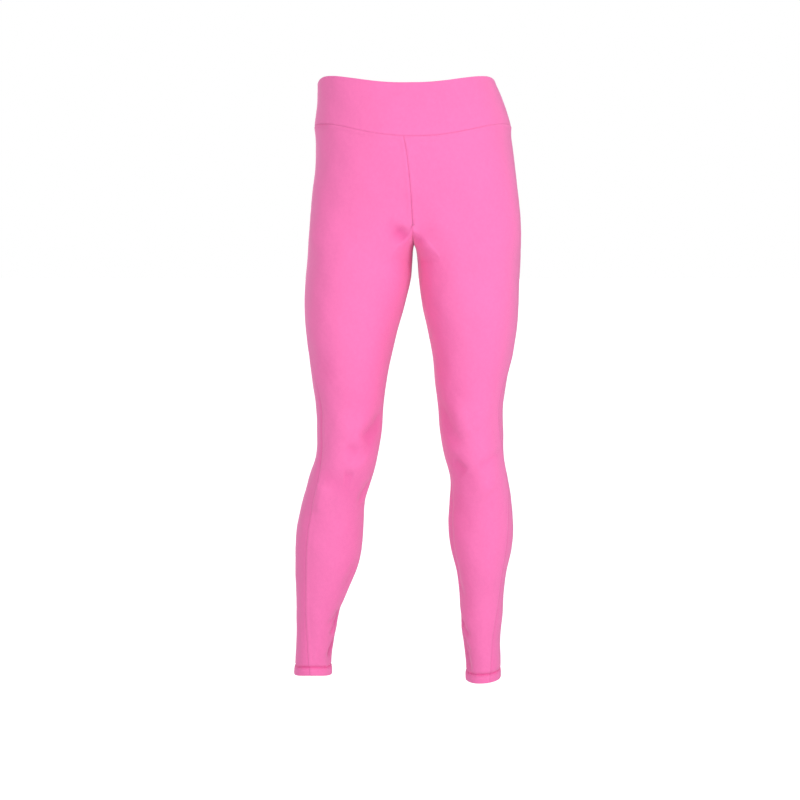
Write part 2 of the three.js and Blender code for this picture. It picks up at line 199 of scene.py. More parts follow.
LEFT_FOLDS = [
    # In front of the knee
    (2.3, 11, [(508, 160), (538, 143), (563, 129), (582, 121)]),
    (-2.0, 10, [(514, 118), (540, 110), (564, 98)]),
    (3.7, 10, [(603, 138), (613, 127), (623, 116)]),
    (1.0, 10, [(624, 118), (640, 112), (660, 110)]),
    (-1.3, 16, [(528, 92), (550, 78)]),
    (-1.5, 13, [(640, 86), (654, 70)]),
    (1.5, 5.5, [(588, 32), (600, 62), (613, 88)]),
    (1.2, 16, [(656, 138), (690, 126), (728, 112)]),
    (1.5, 4, [(644, 168), (680, 161), (730, 157), (790, 158), (826, 162)]),
    # Behind the knee
    (3.2, 8, [(594, 236), (600, 266), (610, 306)]),
    (2.7, 8, [(634, 226), (626, 258), (618, 286)]),
    (-1.2, 7, [(614, 244), (612, 282)]),
    (2.0, 7, [(572, 246), (576, 280), (590, 312)]),
    (1.7, 7, [(654, 240), (648, 270), (654, 304)]),
    # Thigh and below the seat
    (1.5, 12, [(290, 248), (303, 280), (298, 320)]),
    (1.0, 11, [(322, 258), (330, 296)]),
    (0.8, 13, [(462, 96), (486, 104), (504, 112)]),
    # Shin and ankle
    (1.6, 5, [(818, 160), (830, 152), (838, 146)]),
    (4.0, 5.5, [(882, 166), (894, 150), (904, 130)]),
    (4.8, 6, [(909, 168), (921, 150), (932, 138)]),
    (4.2, 6, [(930, 160), (947, 150), (966, 148)]),
    (-1.8, 8, [(862, 92), (910, 92), (958, 92)]),
    (4.4, 6, [(872, 178), (886, 172), (896, 172)]),
    (5.0, 8, [(912, 178), (936, 171), (966, 168)]),
    (1.1, 5, [(916, 240), (926, 272), (920, 310)]),
    (1.0, 5, [(946, 228), (940, 266)]),
    (0.9, 5, [(890, 246), (898, 284)]),
]

# Folds of the hips, seen from the front or the back: depth, half width, which side of the
# body, and the stations (across, drop).
HIP_FOLDS = [
    (4.6, 7, "front", [(-15, 237), (-7, 246), (-1, 256)]),
    (1.8, 9, "front", [(-30, 226), (-14, 238), (4, 252)]),
    (2.8, 5, "front", [(23, 247), (18, 256), (15, 267)]),
    (0.9, 11, "front", [(42, 232), (28, 246), (18, 258)]),
    (-1.8, 14, "front", [(24, 262), (32, 282), (42, 306)]),
    (1.8, 4, "front", [(-150, 77), (-136, 77), (-122, 77)]),
    (1.4, 10, "back", [(2, 238), (-22, 254), (-54, 262)]),
    (1.4, 10, "back", [(24, 238), (48, 254), (82, 262)]),
    (0.8, 12, "back", [(6, 214), (-16, 232)]),
    (0.8, 12, "back", [(18, 214), (40, 232)]),
]

LEGS = {
    "right": {"side": -1, "rows": RIGHT_LEG_TABLE, "folds": RIGHT_FOLDS,
              "hem": {"drop": 986, "outer_rise": 0, "front_rise": 7}},
    "left": {"side": 1, "rows": LEFT_LEG_TABLE, "folds": LEFT_FOLDS,
             "hem": {"drop": 984, "outer_rise": 3, "front_rise": 1.5}},
}

# What the camera sees: its place and lens, the tilt down, and the floor below the hems.
CAMERA_PLACE = (-0.010, -2.0, -0.277)
CAMERA_TILT_DOWN = 6.75
CAMERA_LENS = 55.125
SENSOR_WIDTH = 36.0


class ClothSettings(bpy.types.PropertyGroup):
    """Sizes and colours of the cloth."""

    thickness: bpy.props.FloatProperty(
        name="Thickness", description="Thickness of the knit", default=0.9 * MM,
        min=0.3 * MM, max=2 * MM, unit="LENGTH", precision=4)
    band_thickness: bpy.props.FloatProperty(
        name="Band thickness", description="Thickness of the doubled waistband", default=2.2 * MM,
        min=1 * MM, max=4 * MM, unit="LENGTH", precision=4)
    band_proud: bpy.props.FloatProperty(
        name="Band proud", description="How far the waistband stands proud of the legs",
        default=0.25 * MM, min=0, max=2 * MM, unit="LENGTH", precision=4)
    colour: bpy.props.FloatVectorProperty(
        name="Knit colour", description="Colour of the knit", subtype="COLOR",
        default=(0.955, 0.172, 0.474), min=0, max=1)
    stretched_colour: bpy.props.FloatVectorProperty(
        name="Light knit colour", description="Colour of the knit where it is stretched",
        subtype="COLOR", default=(0.97, 0.2, 0.5), min=0, max=1)
    # Painted shade: the deeper colour that stands for shade in the folds, in the hem's tuck and on the back
    # panels.
    painted_shade_colour: bpy.props.FloatVectorProperty(
        name="Shaded knit colour", description="Colour of the knit where it lies slack",
        subtype="COLOR", default=(0.8, 0.092, 0.34), min=0, max=1)
    wale: bpy.props.FloatProperty(
        name="Wale", description="Width of one column of loops", default=0.5 * MM,
        min=0.2 * MM, max=2 * MM, unit="LENGTH", precision=5)
    course: bpy.props.FloatProperty(
        name="Course", description="Height of one row of loops", default=0.4 * MM,
        min=0.2 * MM, max=2 * MM, unit="LENGTH", precision=5)


class SewingSettings(bpy.types.PropertyGroup):
    """Sizes of the seams, the hems and their stitches."""

    groove_depth: bpy.props.FloatProperty(
        name="Seam depth", description="How far the cloth is drawn in at a seam",
        default=0.35 * MM, min=0, max=3 * MM, unit="LENGTH", precision=4)
    groove_width: bpy.props.FloatProperty(
        name="Seam width", description="Half the width of the line of a seam",
        default=0.8 * MM, min=0.3 * MM, max=4 * MM, unit="LENGTH", precision=4)
    allowance_rise: bpy.props.FloatProperty(
        name="Allowance rise", description="How far the folded edges inside a seam lift the cloth",
        default=0.45 * MM, min=0, max=2 * MM, unit="LENGTH", precision=4)
    hem_depth: bpy.props.FloatProperty(
        name="Hem depth", description="Depth of the turned up hems", default=14 * MM,
        min=6 * MM, max=30 * MM, unit="LENGTH", precision=4)
    hem_thickness: bpy.props.FloatProperty(
        name="Hem thickness", description="Thickness of the doubled hems", default=2.1 * MM,
        min=1 * MM, max=4 * MM, unit="LENGTH", precision=4)
    hem_proud: bpy.props.FloatProperty(
        name="Hem proud", description="How far the hems stand proud of the legs",
        default=1.1 * MM, min=0, max=2 * MM, unit="LENGTH", precision=4)
    stitch_length: bpy.props.FloatProperty(
        name="Stitch length", description="Length of one stitch", default=3.0 * MM,
        min=1 * MM, max=8 * MM, unit="LENGTH", precision=4)
    thread: bpy.props.FloatProperty(
        name="Thread", description="Diameter of the sewing thread", default=0.32 * MM,
        min=0.1 * MM, max=1 * MM, unit="LENGTH", precision=5)
    colour: bpy.props.FloatVectorProperty(
        name="Thread colour", description="Colour of the sewing thread", subtype="COLOR",
        default=(0.96, 0.24, 0.55), min=0, max=1)


class StageSettings(bpy.types.PropertyGroup):
    """The floor and the lights."""

    floor_drop: bpy.props.FloatProperty(
        name="Floor", description="How far the floor lies below the waist", default=1.082,
        min=0.5, max=3, unit="LENGTH")
    floor_colour: bpy.props.FloatVectorProperty(
        name="Floor colour", description="Colour of the floor", subtype="COLOR",
        default=(0.7, 0.7, 0.7), min=0, max=1)
    right_power: bpy.props.FloatProperty(
        name="Right light", description="Power of the soft light at the right, in watts", default=23.5,
        min=0, max=1000)
    left_power: bpy.props.FloatProperty(
        name="Left light", description="Power of the soft light at the left, in watts", default=15,
        min=0, max=1000)
    fill: bpy.props.FloatProperty(
        name="Fill", description="Brightness of the light from all round", default=0.6,
        min=0, max=3)


def hermite(start, leaving, end, arriving, t):
    """A cubic that leaves start at slope leaving and reaches end at slope arriving."""
    t2 = t * t
    t3 = t2 * t
    return ((2 * t3 - 3 * t2 + 1) * start + (t3 - 2 * t2 + t) * leaving
            + (3 * t2 - 2 * t3) * end + (t3 - t2) * arriving)


def curve(rows, name, drop):
    """One column of a table as a smooth function of the drop: a cubic between each two rows,
    whose slope at a row is the rise between its neighbours over the drop between them."""
    drops, values = rows["drop"], rows[name]
    index = np.arange(len(drops))
    before = np.maximum(index - 1, 0)
    after = np.minimum(index + 1, len(drops) - 1)
    slopes = (values[after] - values[before]) / (drops[after] - drops[before])
    i = np.clip(np.searchsorted(drops, drop, side="right") - 1, 0, len(drops) - 2)
    width = drops[i + 1] - drops[i]
    t = (drop - drops[i]) / width
    return hermite(values[i], slopes[i] * width, values[i + 1], slopes[i + 1] * width, t)


def signed_power(value, power):
    return np.sign(value) * np.abs(value) ** power


def mix(a, b, t):
    return a + (b - a) * t


def smooth(t):
    """A step that rises from 0 at t 0 to 1 at t 1 with level ends."""
    t = np.clip(t, 0, 1)
    return t * t * (3 - 2 * t)


def bell(distance, half_width):
    """A soft hump: e to the power of minus the square of distance over half width."""
    return np.exp(-((distance / half_width) ** 2))


def stack(*parts):
    return np.stack(np.broadcast_arrays(*parts), axis=-1)


def hip_ring(drop):
    """The middle and the half width of the hip ring at a drop."""
    left, right = curve(HIP_TABLE, "left", drop), curve(HIP_TABLE, "right", drop)
    return (left + right) / 2, (right - left) / 2


def hip_point(leg, drop, turn):
    """A point of the hip ring, in millimetres: a superellipse in plan, whose angle turn runs
    from the side towards the front. The ring tips down at the front by the fourth power of
    the sine of turn, up at the back by its square and down at the sides by a high power of the
    cosine, and the middle of the front and back is drawn in by a soft hump."""
    middle, half_width = hip_ring(drop)
    front = turn > 0
    reach = np.where(front, -curve(HIP_TABLE, "front", drop), curve(HIP_TABLE, "back", drop))
    power = 2 / curve(HIP_TABLE, "square", drop)
    forward = np.sin(turn)
    x = middle + leg["side"] * half_width * signed_power(np.cos(turn), power)
    front_dent = curve(HIP_TABLE, "front_dent", drop) * bell(x - middle, FRONT_DENT_HALF_WIDTH)
    back_dent = curve(HIP_TABLE, "back_dent", drop) * bell(x - middle, BACK_DENT_HALF_WIDTH)
    y = -reach * signed_power(forward, power) + np.where(front, front_dent, -back_dent)
    tip = np.where(front, curve(HIP_TABLE, "front_drop", drop) * forward ** 4,
                   -curve(HIP_TABLE, "back_rise", drop) * forward ** 2)
    dip = curve(HIP_TABLE, "side_dip", drop) * np.cos(turn) ** SIDE_DIP_POWER
    return stack(x, y, -drop - tip - dip)


def front_seam_turn(leg, drop):
    """The angle of the centre front seam on the hip ring."""
    middle, half_width = hip_ring(drop)
    across = leg["side"] * (curve(HIP_TABLE, "seam", drop) - middle) / half_width
    return np.arccos(signed_power(across, curve(HIP_TABLE, "square", drop) / 2))


def leg_point(leg, drop, turn):
    """A point of one leg's section, in millimetres: a superellipse between the outer, inner,
    front and back sizes, which rises near the hem to lie parallel to it."""
    rows = leg["rows"]
    outer, inner = curve(rows, "outer", drop), curve(rows, "inner", drop)
    front, back = curve(rows, "front", drop), curve(rows, "back", drop)
    lower = smooth((drop - LEG_TOP_DROP) / LEG_TOP_DROP)
    power = 2 / mix(THIGH_SQUARENESS, SHIN_SQUARENESS, lower)
    tilt = smooth((drop - HEM_TILT_STARTS) / (leg["hem"]["drop"] - HEM_TILT_STARTS))
    forward = np.maximum(np.sin(turn), 0)
    rise = leg["hem"]["outer_rise"] * np.cos(turn) + leg["hem"]["front_rise"] * forward ** 2
    x = (outer + inner) / 2 + leg["side"] * np.abs(outer - inner) / 2 * signed_power(np.cos(turn), power)
    y = (front + back) / 2 - (back - front) / 2 * signed_power(np.sin(turn), power)
    return stack(x, y, -drop + tilt * rise)


def hip_turn(leg, drop, column):
    """The angle of a column on the hip ring: even steps from the centre front seam to the
    side, and from there to the centre back line."""
    t = column / OUTER_STEPS
    return np.where(t <= 1, mix(front_seam_turn(leg, drop), 0, t), mix(0, -np.pi / 2, t - 1))


def leg_turn(leg, drop, column):
    """The angle of a column on a leg: even steps from the outseam to the inseam each way."""
    outseam = np.radians(curve(leg["rows"], "outseam", drop))
    inseam = np.radians(curve(leg["rows"], "inseam", drop))
    t = (column - OUTER_STEPS) / (OUTER_STEPS + INNER_STEPS)
    return np.where(t <= 0, mix(outseam, inseam, -t), mix(outseam, inseam - 2 * np.pi, t))


def crotch_point(t):
    """The seam under the body, from t 0 at centre front by 1 at its lowest to 2 at centre
    back: a superelliptic quarter on each side of the lowest point."""
    right = LEGS["right"]
    turn = np.where(t < 1, front_seam_turn(right, np.float64(JOIN_DROP)), -np.pi / 2)
    end = hip_point(right, np.float64(JOIN_DROP), turn)
    power = 2 / CROTCH["squareness"]
    level = np.abs(np.cos(t * np.pi / 2)) ** power
    fallen = np.abs(np.sin(t * np.pi / 2)) ** power
    return stack(mix(CROTCH["middle"], end[..., 0], level), mix(CROTCH["lowest_at"], end[..., 1], level),
                 mix(end[..., 2], -CROTCH_DROP, fallen))


def join_point(leg, column, t):
    """A point between the hips and the first whole section of a leg: a cubic that leaves the
    hips, or the seam under the body, at t 0 and runs into the leg at t 1."""
    top = np.float64(LEG_TOP_DROP)
    end = leg_point(leg, top, leg_turn(leg, top, column))
    beyond = leg_point(leg, top + 1, leg_turn(leg, top + 1, column))
    nearest = np.clip(column, 0, 2 * OUTER_STEPS)
    inward = np.abs(column - nearest) / INNER_STEPS
    join = np.float64(JOIN_DROP)
    hip = hip_point(leg, join, hip_turn(leg, join, nearest))
    above = hip_point(leg, join - 1, hip_turn(leg, join - 1, nearest))
    under = crotch_point(np.where(column < 0, inward, 2 - inward))
    start = np.where((inward > 0)[..., None], under, hip)
    length = (start - end)[..., 2:]
    sideways = np.array([leg["side"] * CROTCH["arch"], 0, 0])
    turned = smooth(inward)[..., None]
    leaving = (hip - above) * length * (1 - turned) + sideways * turned
    arriving = (beyond - end) * length
    return hermite(start, leaving, end, arriving, t[..., None])


def spread(*stretches):
    """Values along a line: each stretch is (from, to, count) and leaves its end to the next,
    and the last stretch's end closes the line."""
    parts = [np.linspace(start, end, count, endpoint=False) for start, end, count in stretches]
    return np.concatenate([*parts, [stretches[-1][1]]])


# How far from a seam the columns close to it lie, in parts of a column's step.
SEAM_COLUMNS = np.array([0, 0.02, 0.04, 0.065, 0.095, 0.13, 0.18, 0.25, 0.35])
COLUMN_STEP = 0.16


def columns_between(first, last):
    """Columns from one seam to the next, close together beside each."""
    start, end = first + SEAM_COLUMNS, last - SEAM_COLUMNS[::-1]
    inside = end[0] - start[-1]
    middle = start[-1] + np.linspace(0, inside, round(inside / COLUMN_STEP), endpoint=False)[1:]
    return np.concatenate([start, middle, end])


def gaps(places, axis):
    """The distance from each place to the one before it in its row or column."""
    first = places[:, :1] if axis == 1 else places[:1]
    return np.linalg.norm(np.diff(places, axis=axis, prepend=first), axis=-1)


def distance_along(places, axis):
    """The distance of each place from the first of its row or column, along the cloth."""
    return np.cumsum(gaps(places, axis), axis=axis)


def path_distance(points, path):
    """How far each point is from a path, how far along the path its nearest place is, and how
    much the point lies below that place: 0 straight above it and 1 straight below it."""
    best = np.full(len(points), np.inf)
    along = np.zeros(len(points))
    below = np.zeros(len(points))
    for i, (start, end) in enumerate(zip(path[:-1], path[1:])):
        run = end - start
        t = np.clip((points - start) @ run / (run @ run), 0, 1)
        offset = points - start - t[:, None] * run
        away = np.linalg.norm(offset, axis=1)
        nearer = away < best
        best = np.where(nearer, away, best)
        along = np.where(nearer, (i + t) / (len(path) - 1), along)
        below = np.where(nearer, 0.5 - 0.5 * offset[:, -1] / np.maximum(away, 1e-6), below)
    return best, along, below


FOLD_STEPS = 12

# How much wider a fold is on its lower side, where the hanging cloth runs out of it gently.
LOWER_SIDE = 1.8


def fold_path(stations):
    """Even steps along a line of stations."""
    stations = np.array(stations, float)
    places = np.linspace(0, len(stations) - 1, FOLD_STEPS + 1)
    index = np.arange(len(stations))
    return [np.interp(places, index, column) for column in stations.T]


def fold_relief(place, depth, half_width):
    """A fold's depth: a soft hump across it, wider on its lower side, which fades towards both
    of its ends."""
    distance, along, below = place
    fade = 1 - 0.75 * (2 * along - 1) ** 4
    return depth * bell(distance, half_width * mix(1, LOWER_SIDE, below)) * fade


def folds_on_leg(leg, points):
    """How deep the folds of a leg are at each point."""
    relief = np.zeros(len(points))
    for depth, half_width, stations in leg["folds"]:
        drop, turn = fold_path(stations)
        path = leg_point(leg, drop, np.radians(turn))
        reach = 3 * half_width * LOWER_SIDE
        low, high = path.min(axis=0) - reach, path.max(axis=0) + reach
        near = np.all((points > low) & (points < high), axis=1)
        relief[near] += fold_relief(path_distance(points[near], path), depth, half_width)
    return relief


def folds_on_hips(points, outward):
    """How deep the folds of the hips are, measured as they are seen from the front or back."""
    relief = np.zeros(len(points))
    seen = points[:, [0, 2]]
    for depth, half_width, side, stations in HIP_FOLDS:
        across, drop = fold_path(stations)
        place = path_distance(seen, np.stack([across, -drop], axis=1))
        facing = -outward[:, 1] if side == "front" else outward[:, 1]
        relief += fold_relief(place, depth, half_width) * smooth(facing * 2)
    return relief


# Long soft waves of the cloth: how strong, and how many millimetres long along each axis.
WAVES = [(0.22, 90, 120, 160), (0.18, 64, -80, 75), (0.12, -45, 50, 110), (0.09, 38, 33, -40),
         (0.05, 21, -26, 24)]


def unevenness(points):
    """Long waves that cross at odd angles, as a sum of sines."""
    return sum(height * np.sin(points @ (2 * np.pi / np.array([a, b, c])) + i)
               for i, (height, a, b, c) in enumerate(WAVES))


class Piece:
    """One panel of cloth as a grid of places, in millimetres. shown says where the grid has
    cloth, seam how far each place is from the nearest seam, and rim how far it is from the
    free edge at the waist or hem."""

    def __init__(self, name, places, shown, clockwise, seam, rim, seam_above, side_lift=0):
        self.name = name
        self.places = places
        self.shown = shown
        self.clockwise = clockwise
        self.seam = seam
        self.rim = rim
        self.seam_above = seam_above
        self.side_lift = side_lift
        self.outward = np.zeros_like(places)

    def squares(self):
        """The corners of each square of cloth, as places' numbers in the order that faces
        outwards, and the number of each place, -1 where there is no cloth."""
        number = np.where(self.shown, np.cumsum(self.shown).reshape(self.shown.shape) - 1, -1)
        corners = np.stack([number[:-1, :-1], number[:-1, 1:], number[1:, 1:], number[1:, :-1]], axis=-1)
        corners = corners[np.all(corners >= 0, axis=-1)]
        return corners if self.clockwise else corners[:, ::-1]


HIP_ROWS = spread((WAIST_SEAM_DROP, 76, 6), (76, 82, 5), (82, JOIN_DROP, 56))[:-1]
JOIN_ROWS = spread((0, 0.12, 5), (0.12, 1, 14))[:-1]
RIM_ROWS = np.array([0, 0.12, 0.35, 0.7, 1.1])

# The edges inside the seams are pressed towards the front panels and lift those, in parts of
# the allowance's rise.
FRONT_SEAM_LIFT = 1.3
BACK_SEAM_LIFT = 0.1


def leg_panel(name, leg, first, last):
    """The front or back of one leg, from the waist seam to the hem."""
    middle = 0 if first < 0 else 2 * OUTER_STEPS
    column = np.unique(np.concatenate([columns_between(first, middle), columns_between(middle, last)]))
    hem = leg["hem"]["drop"]
    leg_rows = spread((LEG_TOP_DROP, 540, 84), (540, 690, 68), (690, hem - 16, 98), (hem - 16, hem - 12, 8),
                      (hem - 12, hem - RIM_ROWS[-1], 10))[:-1]
    leg_rows = np.concatenate([leg_rows, hem - RIM_ROWS[::-1]])
    c = column[None, :]
    hips = hip_point(leg, HIP_ROWS[:, None], hip_turn(leg, HIP_ROWS[:, None], c))
    join = join_point(leg, c + 0 * JOIN_ROWS[:, None], JOIN_ROWS[:, None] + 0 * c)
    lower = leg_point(leg, leg_rows[:, None], leg_turn(leg, leg_rows[:, None], c))
    places = np.concatenate([hips, join, lower])
    on_hips = (column >= 0) & (column <= 2 * OUTER_STEPS)
    above = np.arange(len(places)) < len(HIP_ROWS)
    shown = ~above[:, None] | on_hips[None, :]
    seam = seam_distance(places, column, on_hips)
    rim = np.full(shown.shape, np.inf)
    rim[-len(leg_rows):] = (hem - leg_rows)[:, None]
    waist = distance_along(places, 0)
    side_lift = FRONT_SEAM_LIFT if first < 0 else BACK_SEAM_LIFT
    return Piece(name, places, shown, leg["side"] < 0, np.minimum(seam, waist), rim, waist, side_lift)


def seam_distance(places, column, on_hips):
    """How far each place of a leg is from the seams at its sides. On the hips the inner seam
    is the middle one, and below them it runs on under the body."""
    along = distance_along(places, 1)
    inner_edge = np.argmin(np.abs(column - (0 if column[0] < 0 else 2 * OUTER_STEPS)))
    outer_edge = -1 if column[0] < 0 else 0
    inseam_edge = 0 if column[0] < 0 else -1
    to_outer = np.abs(along - along[:, [outer_edge]])
    to_middle = np.abs(along - along[:, [inner_edge]])
    to_inseam = np.abs(along - along[:, [inseam_edge]])
    row = np.arange(len(places))[:, None]
    on_hip_rows = row < len(HIP_ROWS)
    crotch_row = len(HIP_ROWS)
    end = places[crotch_row, inner_edge]
    to_end = np.linalg.norm(places - end, axis=-1)
    below = distance_along(places[crotch_row:], 0)
    to_crotch = np.full(along.shape, np.inf)
    to_crotch[crotch_row:] = np.where(on_hips[None, :], np.inf, below)
    inner = np.where(on_hip_rows, to_middle, np.minimum(np.minimum(to_inseam, to_crotch), to_end))
    return np.minimum(to_outer, inner)


def band_panel(name, legs, rows, clockwise):
    """The front or back of the waistband, from one side seam to the other."""
    ranges = []
    for leg, first, last in legs:
        column = columns_between(min(first, last), max(first, last))
        column = column if first < last else column[::-1]
        c = column[None, :]
        ranges.append(hip_point(leg, rows[:, None], hip_turn(leg, rows[:, None], c)))
    places = np.concatenate([ranges[0], ranges[1][:, 1:]], axis=1)
    along = distance_along(places, 1)
    sides = np.minimum(along, along[:, -1:] - along)
    down = distance_along(places, 0)
    to_waist_seam = down[-1:] - down
    shown = np.ones(along.shape, bool)
    rim = rows[:, None] + 0 * along
    return Piece(name, places, shown, clockwise, np.minimum(sides, to_waist_seam), rim,
                 np.full(along.shape, np.inf))


BAND_ROWS = np.concatenate([
    RIM_ROWS, spread((1.6, 66, 34), (66, 70, 6), (70, WAIST_SEAM_DROP, 7))])


def face_outwards(pieces):
    """Gives every place the direction out of the cloth: the sum of the normals of the squares
    round it, with the pieces that meet there."""
    points = [piece.places[piece.shown] for piece in pieces]
    starts = np.cumsum([0, *[len(part) for part in points]])
    every = np.concatenate(points)
    _, same = np.unique(np.round(every, 2), axis=0, return_inverse=True)
    same = same.reshape(-1)
    total = np.zeros((same.max() + 1, 3))
    for piece, start in zip(pieces, starts):
        corners = piece.squares() + start
        across = every[corners[:, 2]] - every[corners[:, 0]]
        down = every[corners[:, 3]] - every[corners[:, 1]]
        normal = np.cross(across, down)
        for i in range(4):
            np.add.at(total, same[corners[:, i]], normal)
    total /= np.linalg.norm(total, axis=1, keepdims=True)
    for piece, start, end in zip(pieces, starts, starts[1:]):
        piece.outward[piece.shown] = total[same[start:end]]


@functools.cache
def cut_pieces():
    """All the panels of the leggings, by name."""
    right, left = LEGS["right"], LEGS["left"]
    pieces = [
        band_panel("waistband_front", [(right, 8, 0), (left, 0, 8)], BAND_ROWS, False),
        band_panel("waistband_back", [(left, 8, 16), (right, 16, 8)], BAND_ROWS, False),
        leg_panel("leg_front_right", right, -INNER_STEPS, OUTER_STEPS),
        leg_panel("leg_back_right", right, OUTER_STEPS, 2 * OUTER_STEPS + INNER_STEPS),
        leg_panel("leg_front_left", left, -INNER_STEPS, OUTER_STEPS),
        leg_panel("leg_back_left", left, OUTER_STEPS, 2 * OUTER_STEPS + INNER_STEPS),
    ]
    face_outwards(pieces)
    return {piece.name: piece for piece in pieces}


# The hem, measured up from its edge: where its two lines of stitches run and how deep and wide
# they draw the cloth in, the tuck where the turned up edge ends, and how strongly the cloth
# puckers beside the stitches.
HEM_LINES = (13.6, 10.8)
HEM_LINE_DEPTH = 0.8
HEM_LINE_HALF_WIDTH = 1.0
HEM_EDGE_SOFTNESS = 1.6
HEM_TUCK = 2.2
HEM_TUCK_HALF_WIDTH = 1.9
HEM_TUCK_RISE = 1.0
HEM_PUCKER = 0.28
HEM_PUCKER_HALF_WIDTH = 4.5

# How far from a seam the edges folded inside it lift the cloth, and half the width of that
# lift: below the waist seam, and beside the other seams.
WAIST_LIFT = 0.35
WAIST_LIFT_PLACE = (4.2, 2.4)
SEAM_LIFT_PLACE = (3.2, 2.8)

# How far from a seam the long waves reach their full height, and their share beside it.
WAVES_CALM = 14
WAVES_BESIDE_SEAM = 0.35

# The folds fade out over this height above the hem's edge.
FOLDS_START = 12
FOLDS_FADE = 14

# How much painted shade darkens the cloth, from 0 to 1: for each millimetre that it lies in a fold, at most
# in a fold, in the tuck above the hem, and all over the backs.
# The deeper colour stands for the shade in the folds, in the tuck and on the backs.
PAINTED_SHADE_PER_MM = 0.11
PAINTED_SHADE_MOST = 0.75
TUCK_PAINTED_SHADE = 0.8
BACK_PAINTED_SHADE = 0.16


def hem_wobble(along):
    """The uneven puckers round a hem, from the distance along it in millimetres: two waves of
    about 13 and 8 mm, the first of which comes and goes."""
    return np.sin(along / 2.1 + 1.3 * np.sin(along / 9)) + 0.6 * np.sin(along / 1.3 + 2)


def leg_surface(piece, leg, cloth, sewing):
    """The outer face of a leg, the cloth's thickness in millimetres, and the painted shade of its folds,
    its hem's tuck and its back. The cloth is drawn in at its seams, lifted beside them by the edges folded
    inside, doubled at the hem, and drawn in again along the hem's two lines of stitches."""
    depth, width = sewing.groove_depth / MM, sewing.groove_width / MM
    points = piece.places.reshape(-1, 3)
    outward = piece.outward.reshape(-1, 3)
    shape = piece.shown.shape
    folds = (folds_on_leg(leg, points) + folds_on_hips(points, outward)).reshape(shape)
    waves = unevenness(points).reshape(shape)
    calm = mix(WAVES_BESIDE_SEAM, 1, smooth(piece.seam / WAVES_CALM))
    relief = waves * calm - folds * smooth((piece.rim - FOLDS_START) / FOLDS_FADE)
    relief = relief - depth * bell(piece.seam, width)
    lift = sewing.allowance_rise / MM
    away, half_width = WAIST_LIFT_PLACE
    relief = relief + WAIST_LIFT * lift * bell(piece.seam_above - away, half_width)
    away, half_width = SEAM_LIFT_PLACE
    relief = relief + piece.side_lift * lift * bell(piece.seam - away, half_width)
    hem_top = sewing.hem_depth / MM
    on_hem = 1 - smooth((piece.rim - hem_top) / HEM_EDGE_SOFTNESS + 0.5)
    relief = relief + on_hem * sewing.hem_proud / MM
    for line in HEM_LINES:
        relief = relief - HEM_LINE_DEPTH * bell(piece.rim - line, HEM_LINE_HALF_WIDTH)
    pucker = HEM_PUCKER * hem_wobble(distance_along(piece.places, 1))
    relief = relief + pucker * bell(piece.rim - HEM_LINES[0] - HEM_TUCK_RISE, HEM_PUCKER_HALF_WIDTH)
    tuck = bell(piece.rim - hem_top - HEM_TUCK_RISE, HEM_TUCK_HALF_WIDTH)
    relief = relief - HEM_TUCK * tuck
    thickness = mix(cloth.thickness / MM, sewing.hem_thickness / MM, on_hem)
    outer = piece.places + relief[..., None] * piece.outward
    # Painted shade: the colour darkens with a fold's depth, in the hem's tuck and all over the back panels.
    painted_shade = np.clip(folds * PAINTED_SHADE_PER_MM, 0, PAINTED_SHADE_MOST) + TUCK_PAINTED_SHADE * tuck
    return outer, thickness, np.minimum(painted_shade + (0 if "front" in piece.name else BACK_PAINTED_SHADE), 1)


def band_surface(piece, cloth, sewing):
    """The outer face of the waistband, its thickness, and its painted shade, which is none. It stands proud
    of the legs and is drawn in at its seams."""
    depth, width = sewing.groove_depth / MM, sewing.groove_width / MM
    points = piece.places.reshape(-1, 3)
    waves = unevenness(points).reshape(piece.shown.shape)
    calm = smooth(piece.seam / WAVES_CALM)
    relief = cloth.band_proud / MM + waves * calm - depth * bell(piece.seam, width)
    thickness = np.full(piece.shown.shape, cloth.band_thickness / MM)
    return piece.places + relief[..., None] * piece.outward, thickness, np.zeros(piece.shown.shape)


def closed_shell(piece, outer, thickness):
    """The vertices and faces of a panel: an outer and an inner face, which come together in a
    half round at the free edge, and a strip along each edge."""
    round_off = np.sqrt(np.clip(1 - (1 - np.minimum(piece.rim / (thickness / 2), 1)) ** 2, 0.01, 1))
    half = thickness / 2
    middle = outer - half[..., None] * piece.outward
    swell = (half * round_off)[..., None] * piece.outward
    shown = piece.shown
    front, back = (middle + swell)[shown], (middle - swell)[shown]
    count = len(front)
    squares = piece.squares()
    edges = np.concatenate([squares[:, [i, (i + 1) % 4]] for i in range(4)])
    key = np.sort(edges, axis=1) @ np.array([count, 1])
    _, index, used = np.unique(key, return_index=True, return_counts=True)
    rim_edges = edges[index[used == 1]]
    first, second = rim_edges[:, 0], rim_edges[:, 1]
    strips = np.stack([second, first, first + count, second + count], axis=1)
    faces = np.concatenate([squares, squares[:, ::-1] + count, strips])
    return np.concatenate([front, back]), faces


def add_mesh(name, points, faces, uv=None, attributes=()):
    """A new object from points in millimetres and faces of four corners. uv is a place on the
    cloth, in metres, for each point, and attributes are (name, value for each point)."""
    mesh = bpy.data.meshes.new(name)
    mesh.vertices.add(len(points))
    mesh.vertices.foreach_set("co", (points * MM).astype(np.float32).ravel())
    mesh.loops.add(faces.size)
    mesh.loops.foreach_set("vertex_index", faces.astype(np.int32).ravel())
    mesh.polygons.add(len(faces))
    mesh.polygons.foreach_set("loop_start", np.arange(0, faces.size, 4, dtype=np.int32))
    mesh.polygons.foreach_set("use_smooth", np.ones(len(faces), bool))
    mesh.update(calc_edges=True)
    if uv is not None:
        layer = mesh.uv_layers.new(name="cloth")
        layer.uv.foreach_set("vector", uv[faces.ravel()].astype(np.float32).ravel())
    for label, values in attributes:
        attribute = mesh.attributes.new(label, "FLOAT", "POINT")
        attribute.data.foreach_set("value", values.astype(np.float32))
    mesh.validate()
    piece = bpy.data.objects.new(name, mesh)
    bpy.context.scene.collection.objects.link(piece)
    return piece


